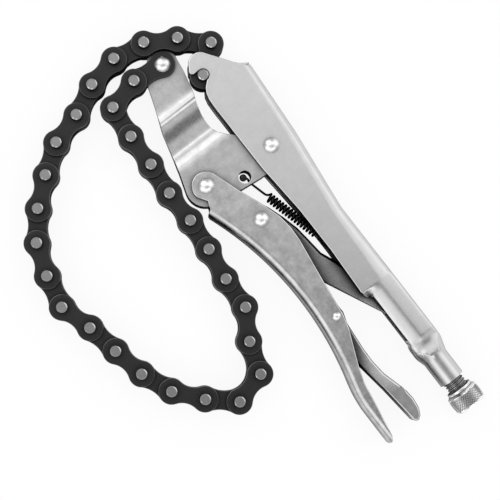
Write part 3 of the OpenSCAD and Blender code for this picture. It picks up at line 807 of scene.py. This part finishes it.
# A round piece turned from a profile of radius and height pairs, with its end rims marked to be painted
# bright as wear and a painted highlight
def turned(shape, x, profile_points, material_index):
    part = bmesh.new()
    turn_round(part, [(r, 0, z) for r, z in profile_points], (0, 0, 0), ROUND_STEPS)
    mark = part.faces.layers.float.new("edge")
    for face in part.faces:
        face.material_index = material_index
        at_rim = abs(face.calc_center_median().z) > PIN_RIM_Z
        face[mark] = 1.0 if abs(face.normal.z) < 0.95 and at_rim else 0.0
    bmesh.ops.translate(part, verts=part.verts, vec=(x, 0, 0))
    add_to(shape, part)


pin_profile = [(0, -PIN_TOP), (PIN_R - PIN_INSET, -PIN_TOP), (PIN_R, -PIN_TOP + PIN_CHAMFER)]
pin_profile += [(r, -z) for r, z in reversed(pin_profile)]
bush_profile = [
    (BORE_R, -BUSH_HALF), (BUSH_R, -BUSH_HALF), (BUSH_R, BUSH_HALF),
    (BORE_R, BUSH_HALF), (BORE_R, -BUSH_HALF),
]
# The first link has only one bush, since its other end is on the jaw's rivet
outer = bmesh.new()
inner = bmesh.new()
first = bmesh.new()
for side in (-1, 1):
    low, high = sorted(side * z for z in OUTER_PLATE)
    chain_plate(outer, OUTER_WAIST, PIN_R + PLAY, low, high)
    turned(outer, side * LINK / 2, pin_profile, 1)
    low, high = sorted(side * z for z in INNER_PLATE)
    chain_plate(inner, INNER_WAIST, BORE_R, low, high)
    chain_plate(first, INNER_WAIST, BORE_R, low, high)
    turned(inner, side * LINK / 2, bush_profile, 0)
turned(first, LINK / 2, bush_profile, 0)
for index in range(LINKS):
    node = f"chain_link_{index:02d}"
    joint = next(j for j in frame["joints"] if j["child"] == node)
    start = Vector(joint["pos_m"])
    if index < LINKS - 1:
        end = Vector(next(j for j in frame["joints"] if j["parent"] == node)["pos_m"])
    else:
        end = HOOKED_PIN
    heading = math.atan2(end.y - start.y, end.x - start.x)
    shape = (first if index == 0 else outer if index % 2 else inner).copy()
    placed = Matrix.Translation((start + end) / 2) @ Matrix.Rotation(heading, 4, "Z")
    bmesh.ops.transform(shape, verts=shape.verts, matrix=placed)
    piece(f"link_{index:02d}", shape, [chain_steel, pin_steel], node, stands_for=[node])
for shape in (outer, inner, first):
    shape.free()


# Bench and light: white paper under soft boxes, in a studio drawn as patches of light on the sky.
# One dark gap between them keeps the flat metal from washing out.
BENCH_DROP = 0.2 * MM
SHADE_REACH = 25 * MM
SHADE_DEPTH = 0.1
floor_shape = bmesh.new()
bmesh.ops.create_grid(floor_shape, x_segments=1, y_segments=1, size=2)
floor_mesh = bpy.data.meshes.new("bench")
floor_shape.to_mesh(floor_mesh)
floor_shape.free()
bench = bpy.data.objects.new("bench", floor_mesh)
bench.location.z = -BENCH_DROP
scene.collection.objects.link(bench)
bench_paper = bpy.data.materials.new("white_paper")
bench_paper.use_nodes = True
tree = bench_paper.node_tree
paper = tree.nodes["Principled BSDF"]
paper.inputs["Base Color"].default_value = (0.9, 0.9, 0.9, 1)
paper.inputs["Roughness"].default_value = 0.9
# Painted shadow: an occlusion node darkens the glowing paper near the tool, faintly as the eye sees it and
# deeply as the metal reflects it
painted_floor_shadow = tree.nodes.new("ShaderNodeAmbientOcclusion")
painted_floor_shadow.samples = AO_SAMPLES
painted_floor_shadow.inputs["Distance"].default_value = SHADE_REACH
rays = tree.nodes.new("ShaderNodeLightPath")
seen = math_node(tree, "MAXIMUM", rays.outputs["Is Camera Ray"], rays.outputs["Is Glossy Ray"])
seen = math_node(tree, "MAXIMUM", seen, rays.outputs["Is Transmission Ray"])
painted_shadow_in_reflections = math_node(tree, "POWER", painted_floor_shadow.outputs["AO"], 2.0)
shaded = math_node(tree, "MULTIPLY", painted_floor_shadow.outputs["AO"], SHADE_DEPTH)
to_eye = math_node(tree, "ADD", shaded, 1 - SHADE_DEPTH)
eye_part = math_node(tree, "MULTIPLY", to_eye, rays.outputs["Is Camera Ray"])
not_eye = math_node(tree, "SUBTRACT", 1.0, rays.outputs["Is Camera Ray"])
metal_part = math_node(tree, "MULTIPLY", painted_shadow_in_reflections, not_eye)
glow = tree.nodes.new("ShaderNodeEmission")
glow.inputs["Color"].default_value = (1, 1, 1, 1)
tree.links.new(math_node(tree, "ADD", eye_part, metal_part), glow.inputs["Strength"])
mixed = tree.nodes.new("ShaderNodeMixShader")
tree.links.new(seen, mixed.inputs["Fac"])
tree.links.new(paper.outputs["BSDF"], mixed.inputs[1])
tree.links.new(glow.outputs["Emission"], mixed.inputs[2])
tree.links.new(mixed.outputs["Shader"], tree.nodes["Material Output"].inputs["Surface"])
floor_mesh.materials.append(bench_paper)

world = bpy.data.worlds.new("studio")
scene.world = world
world.use_nodes = True
tree = world.node_tree
sky = tree.nodes.new("ShaderNodeTexCoord").outputs["Generated"]


# How far into a soft patch of the studio a direction looks: 1 within the inner angle, 0 past the outer
def patch(direction, inner, outer):
    aim = tree.nodes.new("ShaderNodeVectorMath")
    aim.operation = "DOT_PRODUCT"
    aim.inputs[1].default_value = Vector(direction).normalized()
    tree.links.new(sky, aim.inputs[0])
    fade = tree.nodes.new("ShaderNodeMapRange")
    fade.interpolation_type = "SMOOTHSTEP"
    fade.inputs["From Min"].default_value = math.cos(math.radians(outer))
    fade.inputs["From Max"].default_value = math.cos(math.radians(inner))
    tree.links.new(aim.outputs["Value"], fade.inputs["Value"])
    return fade.outputs["Result"]


# Each soft box has its direction, its inner and outer angle in degrees and its strength
BASE_LIGHT, GAP_DEPTH = 0.38, 0.82
light = BASE_LIGHT
for direction, inner, outer, strength in (
    ((-0.25, 0.2, 0.95), 6, 32, 0.42),
    ((0, -0.77, 0.64), 10, 32, 1.1),
    ((-0.66, -0.05, 0.75), 7, 32, 1.5),
    ((0.6, -0.47, 0.64), 6, 26, 0.9),
    ((0.15, 0.62, 0.77), 10, 38, 0.6),
    ((0.1, 0.96, 0.26), 12, 42, 0.6),
    ((0.62, 0.1, 0.77), 8, 24, 1.5),
):
    box = math_node(tree, "MULTIPLY", patch(direction, inner, outer), strength)
    light = math_node(tree, "ADD", box, light)
dark = math_node(tree, "MULTIPLY", patch((0.36, 0.15, 0.92), 4, 24), GAP_DEPTH)
gap = math_node(tree, "SUBTRACT", 1.0, dark)
light = math_node(tree, "MULTIPLY", light, gap)
tree.links.new(light, tree.nodes["Background"].inputs["Strength"])
tree.nodes["Background"].inputs["Color"].default_value = (1, 1, 1, 1)
